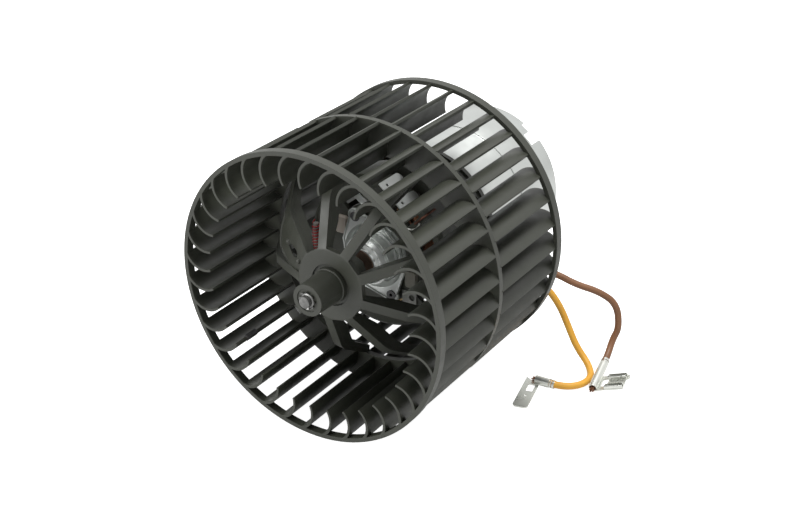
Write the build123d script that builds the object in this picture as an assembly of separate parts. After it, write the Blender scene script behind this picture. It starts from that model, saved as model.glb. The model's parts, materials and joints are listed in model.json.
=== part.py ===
from build123d import *
import os
from math import atan2, cos, degrees, pi, radians, sin, tan

# Car cabin blower motor: a double squirrel-cage impeller on a brushed motor.
# Lengths are in mm. Axial stations run from the front ring's face to the rear
# and the last section moves them to the mounting seat. Angles run from +X
# towards +Z, as seen from the front.

# Impeller
drum_radius = 75.0
drum_length = 116.6
ring_wall = 2.2
front_ring_length = 4.5
rear_ring_length = 4.85
middle_web_setback = 1.1
middle_web_lip = 0.8
middle_web_front = 55.0
middle_web_thickness = 3.2
blade_count = 36
blade_depth = 16.6
blade_angle = 0.35
blade_thickness = 1.5
blade_tip_thickness = 1.1
blade_curve_radius = 10.9
blade_lag = 4.7
blade_root_depth = 0.8
rear_blade_stagger = 5.0
blade_weld = 0.4

# Spider between the hub and the middle web
spoke_count = 9
spoke_width = 5.2
spoke_angle = -16.4
spoke_thickness = 2.5
hub_boss_radius = 8.25
hub_boss_base_radius = 8.75
hub_boss_front = 1.5
hub_boss_rear = 39.5
hub_tail_radius = 7.75
hub_face_radius = 6.0
hub_face_depth = 0.5
hub_collar_radius = 9.4
hub_collar_front = 18.0
hub_moat_radius = 10.9
hub_moat_depth = 1.1
hub_plate_front = 19.9
hub_plate_half_width = 18.75
spider_knee_radius = 43.0
spider_knee_station = 32.2
spider_knee_bend = 16.0
spider_lap = 1.4

# Shaft and what is fixed to it
shaft_radius = 3.0
shaft_front = -1.5
shaft_rear = 168.0
shaft_chamfer = 0.4
clip_radius = 4.6
clip_rim = 0.8
clip_thickness = 0.5
clip_rise = 0.7
clip_slots = 6
clip_slot_width = 0.6
washer_radius = 5.6
washer_thickness = 0.8
end_play = 0.3

# Front bearing
bush_radius = 8.3
bush_front = 45.0
bush_length = 12.0
bush_clearance = 0.05
bush_chamfer = 0.4
cap_wall = 1.2
cap_dome_radius = 12.1
cap_dome_rear = 49.8
cap_step_radius = 13.4
cap_step_front = 51.4
cap_flare_radius = 15.0
cap_flare_front = 56.6
cap_flange_radius = 17.6
cap_flange_front = 60.0
felt_radius = 11.9
felt_front = 51.6
felt_length = 4.6
retainer_thickness = 0.6

# Clamp plate over the front bearing
clamp_angle = -60.5
clamp_thickness = 1.2
clamp_front = 57.0
clamp_hole_clearance = 0.4
clamp_fold_radius = 17.4
clamp_waist_radius = 19.2
clamp_waist_angle = 44.0
clamp_ear_reach = 26.4
clamp_ear_radius = 3.6
eyelet_station_radius = 22.0
eyelet_radius = 1.6
eyelet_bore = 0.9
eyelet_head = 2.6
eyelet_head_height = 0.6
eyelet_depth = 3.2

# Front housing
housing_wall = 2.4
housing_rim_front = 103.4
can_front = 106.0
spigot_length = 5.0
fit_clearance = 0.1
housing_vent_count = 8
housing_vent_angle = 27.0
housing_vent_front = 84.0
housing_vent_rear = 101.0
face_vent_inset = 5.3
face_vent_clearance = 0.9
face_vent_half_angle = 13.0
face_vent_angles = (20.0, 60.0, 120.0, 160.0, 215.0, 240.0, 300.0, 335.0)
shaft_hole_radius = 9.5

# Can
can_radius = 43.0
can_wall = 1.6
can_rear = 172.5
seat_front = 136.5
seat_relief = 0.6
rim_step_depth = 3.0
rim_slot_depth = 8.5
rim_slot_width = 7.0
rim_slot_angles = (48.6, 168.6, 288.6)
rim_step_span = 12.0

# Rear cover and rear bearing
cover_front = 161.0
cover_thickness = 1.6
rear_bush_radius = 7.0
rear_bush_length = 6.0
rear_dome_wall = 1.2
rear_retainer_radius = 12.0

# Magnets
magnet_thickness = 7.3
magnet_angle = 116.0
magnet_front = 112.0
magnet_length = 46.0
magnet_clip_thickness = 0.6
magnet_clip_front = 138.0
magnet_clip_length = 17.0

# Armature
air_gap = 0.6
armature_front = 112.0
armature_length = 40.0
slot_count = 12
tooth_width = 5.0
slot_mouth = 2.2
tooth_tip = 2.0
slot_bottom_radius = 14.0
slot_gap = 0.3
coil_inner_radius = 6.0
coil_setback = 3.4
front_coil_length = 18.0
rear_coil_length = 7.0
coil_round = 3.5

# Commutator
commutator_radius = 11.5
commutator_front = 68.0
commutator_length = 17.0
commutator_core_radius = 8.4
bar_count = 12
bar_gap = 0.8
riser_radius = 13.6
riser_length = 2.0
spacer_radius = 5.0

# Brushes, which slide along Z
brush_width = 6.0
brush_depth = 9.0
brush_length = 14.0
brush_front = 71.5
brush_running_gap = 0.45
brush_fit = 0.12
holder_wall = 0.8
holder_inner_end = 14.5
holder_inset = 8.3
spring_radius = 2.3
spring_wire = 0.7
spring_turns = 4

# Suppression choke on the housing's face
choke_inset = 7.0
choke_z = 0.5
choke_station = 57.8
choke_core_radius = 1.5
choke_core_length = 16.0
choke_turns = 8
choke_wire = 0.9
choke_coil_radius = 2.45
choke_coil_length = 12.5

# Small parts on the housing's face
block_size = (6.0, 2.8, 9.0)
block_places = ((-21.0, 11.1), (21.0, -8.4))
tab_width = 5.6
tab_length = 14.5
tab_thickness = 0.8
tab_front = 59.5
tab_angles = (83.9, 66.4)
tab_heights = (6.4, 1.5)
tab_roll = -40.0
tab_pad_depth = 5.0
tab_pad_rear = 70.0
pocket_rear = 80.0
pocket_wall = 1.5
pocket_floor = 1.8
pocket_inset = 10.3
pocket_angle = 66.0
pocket_half_angle = 10.5
pocket_step = 4.5
pocket_step_floor = 1.2
pocket_step_angle = 87.0
pocket_step_half_angle = 11.0
strip_size = (10.5, 4.0, 0.8)
strip_angle = 109.1
strip_inset = 12.5
strip_roll = -35.0
earth_tag_size = (8.4, 8.6, 0.8)
earth_tag_place = (19.4, -20.6)
earth_tag_hole = 1.6

# Balance clip on a front blade
balance_blade = 22
balance_length = 8.0
balance_height = 1.8
balance_wall = 0.5
balance_clearance = 0.15
balance_start = 8.0

# Leads
lead_radius = 1.85
grommet_angle = -26.0
grommet_station = 127.5
grommet_height = 6.0
grommet_length = 11.0
grommet_flange = 1.5
grommet_standout = 2.4
lead_pitch = 4.6
floor_level = -drum_radius
lead_floor = floor_level + lead_radius
lead_straight = 9.0
orange_route = [
    (62.0, 129.3, -32.7),
    (68.7, 132.2, -43.0),
    (74.4, 132.6, -54.5),
    (80.0, 131.7, -64.2),
    (89.4, 129.0, -71.3),
    (95.2, 120.8, -73.0),
    (93.9, 110.7, -73.0),
]
brown_route = [
    (63.6, 135.1, -26.2),
    (74.2, 138.1, -31.1),
    (85.8, 143.5, -34.6),
    (94.9, 147.0, -41.0),
    (98.2, 144.8, -53.4),
    (96.0, 142.3, -60.2),
]

# Lead terminals, each with a barrel that the lead enters and a flag across it
terminal_thickness = 0.8
barrel_wall = 0.5
barrel_setback = 0.5
orange_mouth = (78.8, 103.8, lead_floor)
orange_barrel_angle = 184.0
orange_barrel_length = 8.0
orange_blade_skew = 8.7
orange_blade_start = 4.9
orange_blade_width = 8.0
orange_blade_foot = (2.4, -3.7)
orange_blade_tip = 25.0
orange_tip_chamfer = 1.4
orange_window = (3.6, 7.0)
orange_window_place = (8.4, 5.9)
orange_dimple_place = (8.9, 14.0)
orange_dimple_radius = 0.9
brown_mouth = (98.0, 128.5, -67.9)
brown_barrel_way = (0.139, -0.961, -0.24)
brown_flag_way = (0.93, 0.02, 0.37)
brown_barrel_length = 19.0
brown_flag_width = 10.5
brown_flag_foot = 1.5
brown_flag_length = 17.0
brown_window = (5.5, 3.6)
brown_window_height = 5.0
brown_roll_radius = 1.5
brown_roll_share = 0.6
brown_lug_radius = 1.7

# The seat of the mounting clamp is the model's origin
seat_station = 146.0


# Helpers
def slab(section, front, rear):
    """A flat section, drawn as seen from the front, standing from front to rear."""
    return extrude(Plane.XZ.offset(-front) * section, front - rear)


def tube(outer, inner, front, rear):
    """A plain ring about the shaft's axis."""
    return slab(Circle(outer) - Circle(inner), front, rear)


def turned(*outline):
    """A solid of revolution from (radius, station) corners."""
    return revolve(make_face(Polyline(*outline, close=True)), Axis.Y)


def around(part, angle):
    """The same part, turned about the shaft's axis towards +Z."""
    return Rot(0, -angle, 0) * part


def polar(radius, angle):
    """A point of a section seen from the front."""
    return Vector(radius * cos(radians(angle)), radius * sin(radians(angle)))


def sector(inner, outer, half_angle):
    """A ring sector centred on +X, seen from the front."""
    wedge = Polyline((0, 0), polar(3 * outer, -half_angle), polar(3 * outer, half_angle), close=True)
    return (Circle(outer) - Circle(inner)) & make_face(wedge)


def write(name, part):
    """Moves a part to the seat's origin and writes it."""
    placed = Pos(0, -seat_station, 0) * part
    export_step(placed, f"parts/{name}.step")
    print(name, len(placed.solids()), round(placed.volume))


# Impeller
blade_inner_radius = drum_radius - blade_depth
middle_web_radius = drum_radius - middle_web_setback
middle_web_bore = blade_inner_radius - middle_web_lip


def blade_line(angle):
    """Middle line of a blade's section, from its inner end to the ring."""
    start = polar(blade_inner_radius, angle)
    end = polar(drum_radius - ring_wall + blade_root_depth, angle - blade_lag)
    return RadiusArc(start, end, blade_curve_radius)


def blade_section(angle):
    """One forward-curved blade, seen from the front."""
    line = blade_line(angle)
    centre = line.arc_center
    sides = []
    for turn in (-0.5, 0.5):
        side = []
        for share in (0, 0.5, 1):
            thickness = blade_tip_thickness + (blade_thickness - blade_tip_thickness) * share
            scale = 1 + turn * thickness / blade_curve_radius
            side.append(centre + (line @ share - centre) * scale)
        sides.append(side)
    inside, outside = sides
    return make_face([
        ThreePointArc(*inside),
        Line(inside[2], outside[2]),
        ThreePointArc(*outside),
        Line(outside[0], inside[0]),
    ])


def blade_row(stagger):
    """All blade sections of one half of the drum."""
    step = 360 / blade_count
    return Sketch() + [blade_section(stagger + step * index) for index in range(blade_count)]


def spider():
    """Nine spokes cut from one dished web, with the hub's collar and moat."""
    hub_line = FilletPolyline(
        (hub_moat_radius, hub_plate_front),
        (hub_plate_half_width, hub_plate_front),
        (spider_knee_radius, spider_knee_station),
        (middle_web_bore + spider_lap, middle_web_front + middle_web_thickness - 0.6),
        radius=[3, spider_knee_bend],
    )
    dish = offset(hub_line, spoke_thickness, side=Side.LEFT, closed=True)
    web = revolve(make_face(dish), Axis.Y)
    star = RegularPolygon(hub_plate_half_width, spoke_count, major_radius=False, rotation=spoke_angle)
    reach = middle_web_bore + middle_web_thickness
    for index in range(spoke_count):
        bar = Pos(reach / 2, 0) * Rectangle(reach, spoke_width)
        star += Rot(0, 0, spoke_angle + 360 / spoke_count * index) * bar
    web = web & slab(star, hub_plate_front - 1, middle_web_front + middle_web_thickness)
    plate_rear = hub_plate_front + spoke_thickness
    boss = turned(
        (shaft_radius, hub_boss_front + hub_face_depth),
        (hub_face_radius, hub_boss_front + hub_face_depth),
        (hub_face_radius, hub_boss_front),
        (hub_boss_radius, hub_boss_front),
        (hub_boss_base_radius, hub_collar_front),
        (hub_collar_radius - 0.3, hub_collar_front),
        (hub_collar_radius, hub_collar_front + 0.3),
        (hub_collar_radius, hub_plate_front + hub_moat_depth),
        (hub_moat_radius + 0.3, hub_plate_front + hub_moat_depth),
        (hub_moat_radius + 0.3, plate_rear),
        (hub_boss_radius, plate_rear),
        (hub_tail_radius, hub_boss_rear),
        (shaft_radius, hub_boss_rear),
    )
    return web + boss


def impeller():
    """The one-piece moulded drum: rings, middle web, two rows of blades and spider."""
    web_rear = middle_web_front + middle_web_thickness
    ring_bore = drum_radius - ring_wall
    front_row = slab(blade_row(blade_angle), 0, middle_web_front + blade_weld)
    rear_row = slab(blade_row(blade_angle + rear_blade_stagger), web_rear - blade_weld, drum_length)
    frame = tube(middle_web_radius, middle_web_bore, middle_web_front, web_rear)
    frame += spider()
    rings = [
        tube(drum_radius, ring_bore, 0, front_ring_length),
        tube(drum_radius, ring_bore, drum_length - rear_ring_length, drum_length),
    ]
    return frame + front_row.solids() + rear_row.solids() + rings


def balance_clip():
    """Steel clip pushed over the inner edge of one front blade."""
    line = blade_line(blade_angle + 360 / blade_count * balance_blade)
    lean = degrees(atan2((line % 0).Y, (line % 0).X))
    inside = blade_tip_thickness + 2 * balance_clearance + 0.1
    outside = inside + 2 * balance_wall
    bridge = Pos(-balance_clearance - balance_wall / 2, 0) * Rectangle(balance_wall, outside)
    legs = [
        Pos(balance_height / 2 - balance_clearance, turn * (inside + balance_wall) / 2)
        * Rectangle(balance_height, balance_wall)
        for turn in (-1, 1)
    ]
    section = Pos((line @ 0).X, (line @ 0).Y) * Rot(0, 0, lean) * (bridge + legs)
    return slab(section, balance_start, balance_start + balance_length)


# Shaft and its small parts
rear_bush_front = cover_front + cover_thickness
bush_rear = bush_front + bush_length
front_washer_front = bush_rear + end_play
rear_washer_front = rear_bush_front - end_play - washer_thickness


def shaft():
    rod = slab(Circle(shaft_radius), shaft_front, shaft_rear)
    ends = rod.edges().filter_by(GeomType.CIRCLE)
    return chamfer(ends, shaft_chamfer)


def hub_clip():
    """Star clip pushed on the shaft into the hub's face, with its teeth bent forward."""
    rear = hub_boss_front + hub_face_depth
    front = rear - clip_thickness
    rim = clip_radius - clip_rim
    star = turned(
        (shaft_radius, front - clip_rise),
        (rim, front),
        (clip_radius, front),
        (clip_radius, rear),
        (rim, rear),
        (shaft_radius, rear - clip_rise),
    )
    slot = Pos((shaft_radius + rim) / 2, 0) * Rectangle(rim - shaft_radius + 0.2, clip_slot_width)
    cut = slab(slot, front - 2, rear + 1)
    return star - [around(cut, 360 / clip_slots * index) for index in range(clip_slots)]


def thrust_washer(front):
    return tube(washer_radius, shaft_radius, front, front + washer_thickness)


# Front bearing
cap_flange_rear = cap_flange_front + cap_wall
clamp_rear = clamp_front + clamp_thickness


def bush(radius, front, rear):
    """Sintered bush with its outer corners broken."""
    bore = shaft_radius + bush_clearance
    return turned(
        (bore, front),
        (radius - bush_chamfer, front),
        (radius, front + bush_chamfer),
        (radius, rear - bush_chamfer),
        (radius - bush_chamfer, rear),
        (bore, rear),
    )


def bearing_cap():
    """Stepped drawn cap that carries the bush."""
    mouth = bush_radius + bush_clearance
    slope = cap_wall * 0.6
    return turned(
        (mouth, bush_front),
        (mouth + 0.6, bush_front),
        (cap_dome_radius - 0.7, cap_dome_rear - 2.3),
        (cap_dome_radius, cap_dome_rear),
        (cap_dome_radius, cap_step_front),
        (cap_step_radius, cap_step_front),
        (cap_step_radius, cap_flare_front),
        (cap_flare_radius, cap_flange_front - slope),
        (cap_flare_radius, cap_flange_front),
        (cap_flange_radius, cap_flange_front),
        (cap_flange_radius, cap_flange_rear),
        (cap_flare_radius - cap_wall, cap_flange_rear),
        (cap_flare_radius - cap_wall, cap_flange_front),
        (cap_step_radius - cap_wall, cap_flare_front + slope),
        (cap_step_radius - cap_wall, cap_dome_rear + slope),
        (cap_dome_radius - 1.9, cap_dome_rear - 0.4),
        (mouth, bush_front + 3.2),
    )


def oil_felt():
    return tube(felt_radius, bush_radius + fit_clearance, felt_front, felt_front + felt_length)


def bearing_retainer(bush_outer, outer, front):
    """Star spring that holds a bush from behind."""
    inner = bush_outer - 2.5
    section = Circle(outer) - Circle(inner)
    for index in range(6):
        notch = Pos(inner + 0.6, 0) * Rectangle(2.4, 1.2)
        section -= Rot(0, 0, 60 * index) * notch
    return slab(section, front, front + retainer_thickness)


def clamp_outline():
    """Bow-tie outline of the clamp plate, with its ears along +X and -X."""
    waist = polar(clamp_waist_radius, clamp_waist_angle)
    tip = clamp_ear_reach - clamp_ear_radius
    body = Polyline(
        (tip, clamp_ear_radius),
        waist,
        (0, clamp_waist_radius - 1),
        (-waist.X, waist.Y),
        (-tip, clamp_ear_radius),
        (-tip, -clamp_ear_radius),
        (-waist.X, -waist.Y),
        (0, 1 - clamp_waist_radius),
        (waist.X, -waist.Y),
        (tip, -clamp_ear_radius),
        close=True,
    )
    ears = [Pos(side * tip, 0) * Circle(clamp_ear_radius) for side in (-1, 1)]
    return make_face(body) + ears


def bearing_clamp():
    """Bow-tie plate, dished inside its fold circle so that it presses on the cap's flange."""
    flat = clamp_outline() - Circle(clamp_fold_radius)
    for side in (-1, 1):
        flat -= Pos(side * eyelet_station_radius, 0) * Circle(eyelet_radius + bush_clearance)
    hole = cap_flare_radius + clamp_hole_clearance
    dish = turned(
        (clamp_fold_radius, clamp_front),
        (clamp_fold_radius, clamp_rear),
        (hole + 0.8, cap_flange_front),
        (hole, cap_flange_front),
        (hole, cap_flange_front - clamp_thickness),
    )
    return around(slab(flat, clamp_front, clamp_rear) + dish, clamp_angle)


def clamp_eyelets():
    """Two hollow rivets through the ears into the housing's posts."""
    eyelet = turned(
        (eyelet_bore, clamp_front - eyelet_head_height),
        (eyelet_head, clamp_front - eyelet_head_height),
        (eyelet_head, clamp_front),
        (eyelet_radius, clamp_front),
        (eyelet_radius, clamp_rear + eyelet_depth),
        (eyelet_bore, clamp_rear + eyelet_depth),
    )
    pair = [around(Pos(eyelet_station_radius, 0, 0) * eyelet, clamp_angle + turn) for turn in (0, 180)]
    return Compound(children=pair)


# Front housing
housing_front = cap_flange_rear
housing_face = housing_front + housing_wall
spigot_radius = can_radius - can_wall - fit_clearance
holder_front = brush_front - brush_fit - holder_wall
holder_outer_end = spigot_radius - holder_inset
pocket_radius = spigot_radius - pocket_inset
tab_places = [polar(pocket_radius + height, angle) for height, angle in zip(tab_heights, tab_angles)]
holder_half_width = brush_width / 2 + brush_fit + holder_wall


def clamp_posts():
    """Posts under the clamp's ears, bored for the eyelets."""
    posts = []
    for turn in (0, 180):
        post = slab(Circle(clamp_ear_radius), clamp_rear, housing_front + 0.4)
        posts.append(around(Pos(eyelet_station_radius, 0, 0) * post, clamp_angle + turn))
    return posts


def eyelet_bores():
    bores = []
    for turn in (0, 180):
        bore = slab(Circle(eyelet_radius + bush_clearance), clamp_rear - 1, clamp_rear + eyelet_depth + 0.4)
        bores.append(around(Pos(eyelet_station_radius, 0, 0) * bore, clamp_angle + turn))
    return bores


def brush_pedestals():
    """Webs behind the face that the brush holders stand on."""
    height = holder_outer_end - holder_inner_end
    middle = (holder_outer_end + holder_inner_end) / 2
    pads = []
    for side in (-1, 1):
        pad = Pos(0, side * middle) * Rectangle(2 * holder_half_width + 3, height)
        pads.append(slab(pad, housing_face - 0.4, holder_front))
    return pads


def tab_pads():
    """Moulded pads that the two flat contacts lie on."""
    pads = []
    for place in tab_places:
        down = tab_thickness / 2 + tab_pad_depth / 2
        pad = Pos(place) * Rot(0, 0, tab_roll) * Pos(0, -down) * Rectangle(tab_width, tab_pad_depth)
        pads.append(slab(pad, housing_front, tab_pad_rear))
    return pads


def pocket(outside):
    """The pocket for the two contacts, in two steps: its outside with walls, or its room."""
    outer = spigot_radius - housing_wall + 0.4 if outside else can_radius
    side = degrees(pocket_wall / spigot_radius) * 1.2 if outside else 0
    steps = [
        (pocket_radius, pocket_floor, pocket_angle, pocket_half_angle),
        (pocket_radius + pocket_step, pocket_step_floor, pocket_step_angle, pocket_step_half_angle),
    ]
    front = housing_face - 0.4 if outside else housing_front - 1
    rear = pocket_rear + pocket_wall if outside else pocket_rear
    parts = []
    for inner, wall, angle, half_angle in steps:
        inner -= wall if outside else 0
        parts.append(around(slab(sector(inner, outer, half_angle + side), front, rear), angle))
    return parts


def front_housing():
    """Moulded cup with face vents, side vents, clamp posts, contact pocket and brush pedestals."""
    inner = spigot_radius - housing_wall
    rim = can_radius - seat_relief
    shell = turned(
        (shaft_hole_radius, housing_front),
        (spigot_radius - 2, housing_front),
        (spigot_radius, housing_front + 2),
        (spigot_radius, housing_rim_front),
        (rim, housing_rim_front),
        (rim, can_front),
        (spigot_radius, can_front),
        (spigot_radius, can_front + spigot_length),
        (inner, can_front + spigot_length),
        (inner, housing_face),
        (shaft_hole_radius, housing_face),
    )
    shell = shell + pocket(True) - pocket(False)
    shell = shell + clamp_posts() + brush_pedestals() + tab_pads()
    cuts = eyelet_bores()
    gap = sector(inner - 1, can_radius, housing_vent_angle / 2)
    side_vent = slab(gap, housing_vent_front, housing_vent_rear)
    for index in range(housing_vent_count):
        cuts.append(around(side_vent, 360 / housing_vent_count * (index + 0.5)))
    vent_outer = spigot_radius - face_vent_inset
    vent_inner = eyelet_station_radius + clamp_ear_radius + face_vent_clearance
    gap = sector(vent_inner, vent_outer, face_vent_half_angle)
    face_vent = slab(gap, housing_front - 1, housing_face + 1)
    cuts += [around(face_vent, angle) for angle in face_vent_angles]
    return shell - cuts


# Can, cover and rear bearing
rear_bush_rear = rear_bush_front + rear_bush_length
dome_inside = shaft_rear + 1.2


def grommet_section(grow):
    """Outline of the grommet, in the plane of the can's wall there."""
    return SlotOverall(grommet_length + 2 * grow, grommet_height + 2 * grow)


def grommet_plane(radius):
    """Plane square to the leads' way out, with its x axis along the motor."""
    way_out = Vector(cos(radians(grommet_angle)), 0, sin(radians(grommet_angle)))
    return Plane(origin=way_out * radius + Vector(0, grommet_station, 0), x_dir=(0, 1, 0), z_dir=way_out)


def motor_can():
    """Drawn tube with a stepped and slotted rear rim and the hole for the grommet."""
    bore = can_radius - can_wall
    can = tube(can_radius, bore, seat_front, can_rear)
    can += tube(can_radius - seat_relief, bore, can_front, seat_front)
    step = sector(can_radius - 2 * can_wall, can_radius + 1, rim_step_span / 2)
    slot = Pos(can_radius, 0) * Rectangle(6 * can_wall, rim_slot_width)
    cuts = []
    for angle in rim_slot_angles:
        cuts.append(around(slab(slot, can_rear - rim_slot_depth, can_rear + 1), angle))
        cuts.append(around(slab(step, can_rear - rim_step_depth, can_rear + 1), angle + rim_step_span / 2))
    hole = extrude(grommet_plane(can_radius - 3 * can_wall) * grommet_section(fit_clearance), 6 * can_wall)
    return can - cuts - hole


def rear_cover():
    """End plate inside the rim, domed over the rear bearing."""
    outer = can_radius - can_wall - fit_clearance
    seat = rear_bush_radius + bush_clearance
    return turned(
        (seat, cover_front),
        (outer, cover_front),
        (outer, cover_front + cover_thickness),
        (seat + 3 * rear_dome_wall, cover_front + cover_thickness),
        (seat + rear_dome_wall, rear_bush_rear),
        (seat + rear_dome_wall - 1, dome_inside + rear_dome_wall),
        (0, dome_inside + rear_dome_wall),
        (0, dome_inside),
        (seat, dome_inside),
    )


# Magnets
magnet_outer_radius = can_radius - can_wall - fit_clearance
magnet_inner_radius = magnet_outer_radius - magnet_thickness
magnet_rear = magnet_front + magnet_length


def magnet():
    """One ferrite arc, centred on +X."""
    arc = sector(magnet_inner_radius, magnet_outer_radius, magnet_angle / 2)
    return slab(arc, magnet_front, magnet_rear)


def magnet_clips():
    """Two bent spring clips that push the magnets apart."""
    half_gap = 90 - magnet_angle / 2 - 0.6
    inner = magnet_inner_radius + 1
    outer = magnet_outer_radius
    base = sector(outer - magnet_clip_thickness, outer, half_gap)
    legs = []
    for side in (-1, 1):
        lean = sector(inner, outer, degrees(magnet_clip_thickness / outer))
        legs.append(Rot(0, 0, side * (half_gap - 1)) * lean)
    clip = slab(base + legs, magnet_clip_front, magnet_clip_front + magnet_clip_length)
    return Compound(children=[clip, around(clip, 180)])


# Armature
armature_radius = magnet_inner_radius - air_gap
coil_outer_radius = armature_radius - coil_setback
armature_rear = armature_front + armature_length


def slot_section(shrink):
    """One winding slot, centred on +X."""
    outer = armature_radius - tooth_tip - shrink
    root = slot_bottom_radius + shrink
    wide = outer * tan(radians(180 / slot_count)) - tooth_width / 2
    narrow = root * tan(radians(180 / slot_count)) - tooth_width / 2
    return make_face(Polyline(
        (root, narrow - shrink),
        (outer, wide - shrink),
        (outer, shrink - wide),
        (root, shrink - narrow),
        close=True,
    ))


def armature_core():
    """Laminated stack with its winding slots open at the rim."""
    section = Circle(armature_radius) - Circle(shaft_radius)
    mouth = Pos(armature_radius - tooth_tip, 0) * Rectangle(3 * tooth_tip, slot_mouth)
    for index in range(slot_count):
        section -= Rot(0, 0, 360 / slot_count * index) * (slot_section(0) + mouth)
    return slab(section, armature_front, armature_rear)


def armature_windings():
    """Copper in the slots and the end turns at both ends."""
    corner = coil_round
    front = armature_front - front_coil_length
    rear = armature_rear + rear_coil_length
    neck = commutator_core_radius + slot_gap
    turns = turned(
        (neck, commutator_rear),
        (riser_radius - slot_gap, commutator_rear),
        (coil_outer_radius - corner, front),
        (coil_outer_radius, front + corner),
        (coil_outer_radius, armature_front),
        (coil_inner_radius, armature_front),
        (coil_inner_radius, commutator_rear + 4),
        (neck, commutator_rear + 4 - coil_inner_radius + spacer_radius),
    )
    turns += turned(
        (coil_inner_radius, armature_rear),
        (coil_outer_radius, armature_rear),
        (coil_outer_radius, rear - corner),
        (coil_outer_radius - corner, rear),
        (coil_inner_radius, rear),
    )
    fill = slab(slot_section(slot_gap), armature_front - 1, armature_rear + 1)
    return turns + [around(fill, 360 / slot_count * index) for index in range(slot_count)]


# Commutator
commutator_rear = commutator_front + commutator_length


def commutator_bars():
    """Copper bars with risers at their rear end."""
    bar = turned(
        (commutator_core_radius, commutator_front),
        (commutator_radius, commutator_front),
        (commutator_radius, commutator_rear - riser_length),
        (riser_radius, commutator_rear - riser_length),
        (riser_radius, commutator_rear),
        (commutator_core_radius, commutator_rear),
    )
    slots = []
    for index in range(bar_count // 2):
        cut = slab(Rectangle(4 * riser_radius, bar_gap), commutator_front - 1, commutator_rear + 1)
        slots.append(around(cut, 360 / bar_count * (index + 0.5)))
    return Compound(children=(bar - slots).solids())


def commutator_core():
    """Moulded core with a nose that reaches the front thrust washer."""
    nose = tube(spacer_radius, shaft_radius, front_washer_front + washer_thickness, commutator_front)
    return tube(commutator_core_radius, shaft_radius, commutator_front - 1, commutator_rear + 1) + nose


def rear_spacer():
    return tube(spacer_radius, shaft_radius, armature_rear, rear_washer_front)


# Brushes
brush_middle = brush_front + brush_depth / 2
brush_inner_end = commutator_radius + brush_running_gap
brush_outer_end = brush_inner_end + brush_length - 1


def up_or_down(part, side):
    """The upper part as drawn, or the lower one turned half round the axis."""
    return part if side > 0 else around(part, 180)


def brush(side):
    """Carbon brush with its running face hollowed to the commutator."""
    block = Box(brush_width, brush_depth, brush_length)
    block = Pos(0, brush_middle, brush_outer_end - brush_length / 2) * block
    face = slab(Circle(brush_inner_end), brush_front - 1, brush_front + brush_depth + 1)
    return up_or_down(block - face, side)


def brush_holder(side):
    """Folded guide with a closed outer end."""
    inside = (brush_width + 2 * brush_fit, brush_depth + 2 * brush_fit)
    outside = (inside[0] + 2 * holder_wall, inside[1] + 2 * holder_wall)
    section = Rectangle(*outside) - Rectangle(*inside)
    guide = extrude(Pos(0, brush_middle, holder_inner_end) * section, holder_outer_end - holder_inner_end)
    lid = extrude(Pos(0, brush_middle, holder_outer_end) * Rectangle(*outside), holder_wall)
    return up_or_down(guide + lid, side)


def brush_spring(side):
    """Helical spring between the brush and the lid of its guide."""
    length = holder_outer_end - brush_outer_end
    pitch = (length - spring_wire) / spring_turns
    path = Helix(pitch, length - spring_wire, spring_radius)
    wire = Plane(path @ 0, z_dir=path % 0) * Rectangle(spring_wire, spring_wire)
    coil = sweep(wire, path, is_frenet=True)
    return up_or_down(Pos(0, brush_middle, brush_outer_end + spring_wire / 2) * coil, side)


# Suppression choke
choke_x = choke_inset - can_radius


def choke_core():
    rod = extrude(Circle(choke_core_radius), choke_core_length)
    return Pos(choke_x, choke_station, choke_z - choke_core_length / 2) * rod


def choke_coil():
    """Close turns of lacquered wire round the core."""
    turn = choke_coil_length / choke_turns
    bore = choke_core_radius + fit_clearance
    ridge = turn / 2
    outline = [(bore, 0), (choke_coil_radius, 0)]
    for index in range(choke_turns):
        low = index * turn
        outline.append((choke_coil_radius, low + ridge / 2))
        outline.append((choke_coil_radius - choke_wire / 3, low + turn - ridge / 4))
    outline += [(choke_coil_radius, choke_coil_length), (bore, choke_coil_length)]
    coil = revolve(Plane.XZ * make_face(Polyline(*outline, close=True)), Axis.Z)
    return Pos(choke_x, choke_station, choke_z - choke_coil_length / 2) * coil


# Small parts on the housing's face
def face_block(place):
    """Moulded insulator block."""
    width, depth, height = block_size
    block = Pos(place[0], housing_front - depth / 2, place[1]) * Box(width, depth, height)
    return chamfer(block.edges().filter_by(Axis.Y), 0.8)


def spade_tab(place):
    """Flat contact that lies along the motor, with a rounded end and a small hole."""
    blade = Pos(0, tab_length / 2) * Rectangle(tab_width, tab_length)
    blade += Pos(0, tab_length) * Circle(tab_width / 2)
    blade -= Pos(0, 4) * Circle(0.8)
    flat = Pos(0, 0, -tab_thickness / 2) * extrude(blade, tab_thickness)
    return Pos(place.X, tab_front, place.Y) * Rot(0, -tab_roll, 0) * flat


def bus_strip():
    """Short strip that joins two contacts."""
    length, width, thick = strip_size
    place = polar(spigot_radius - strip_inset, strip_angle)
    plate = Pos(place) * Rot(0, 0, strip_roll) * Rectangle(length, width)
    return slab(plate, housing_front - thick, housing_front)


def earth_tag():
    length, width, thick = earth_tag_size
    plate = Rectangle(length, width) - Pos(1.5, 1) * Circle(earth_tag_hole)
    return slab(Pos(*earth_tag_place) * plate, housing_front - thick, housing_front)


# Leads, their grommet and their terminals
def lead_exit(side):
    """Where a lead leaves the grommet's outer face."""
    face = grommet_plane(can_radius + grommet_standout)
    return face.origin + Vector(0, side * lead_pitch / 2, 0)


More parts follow.
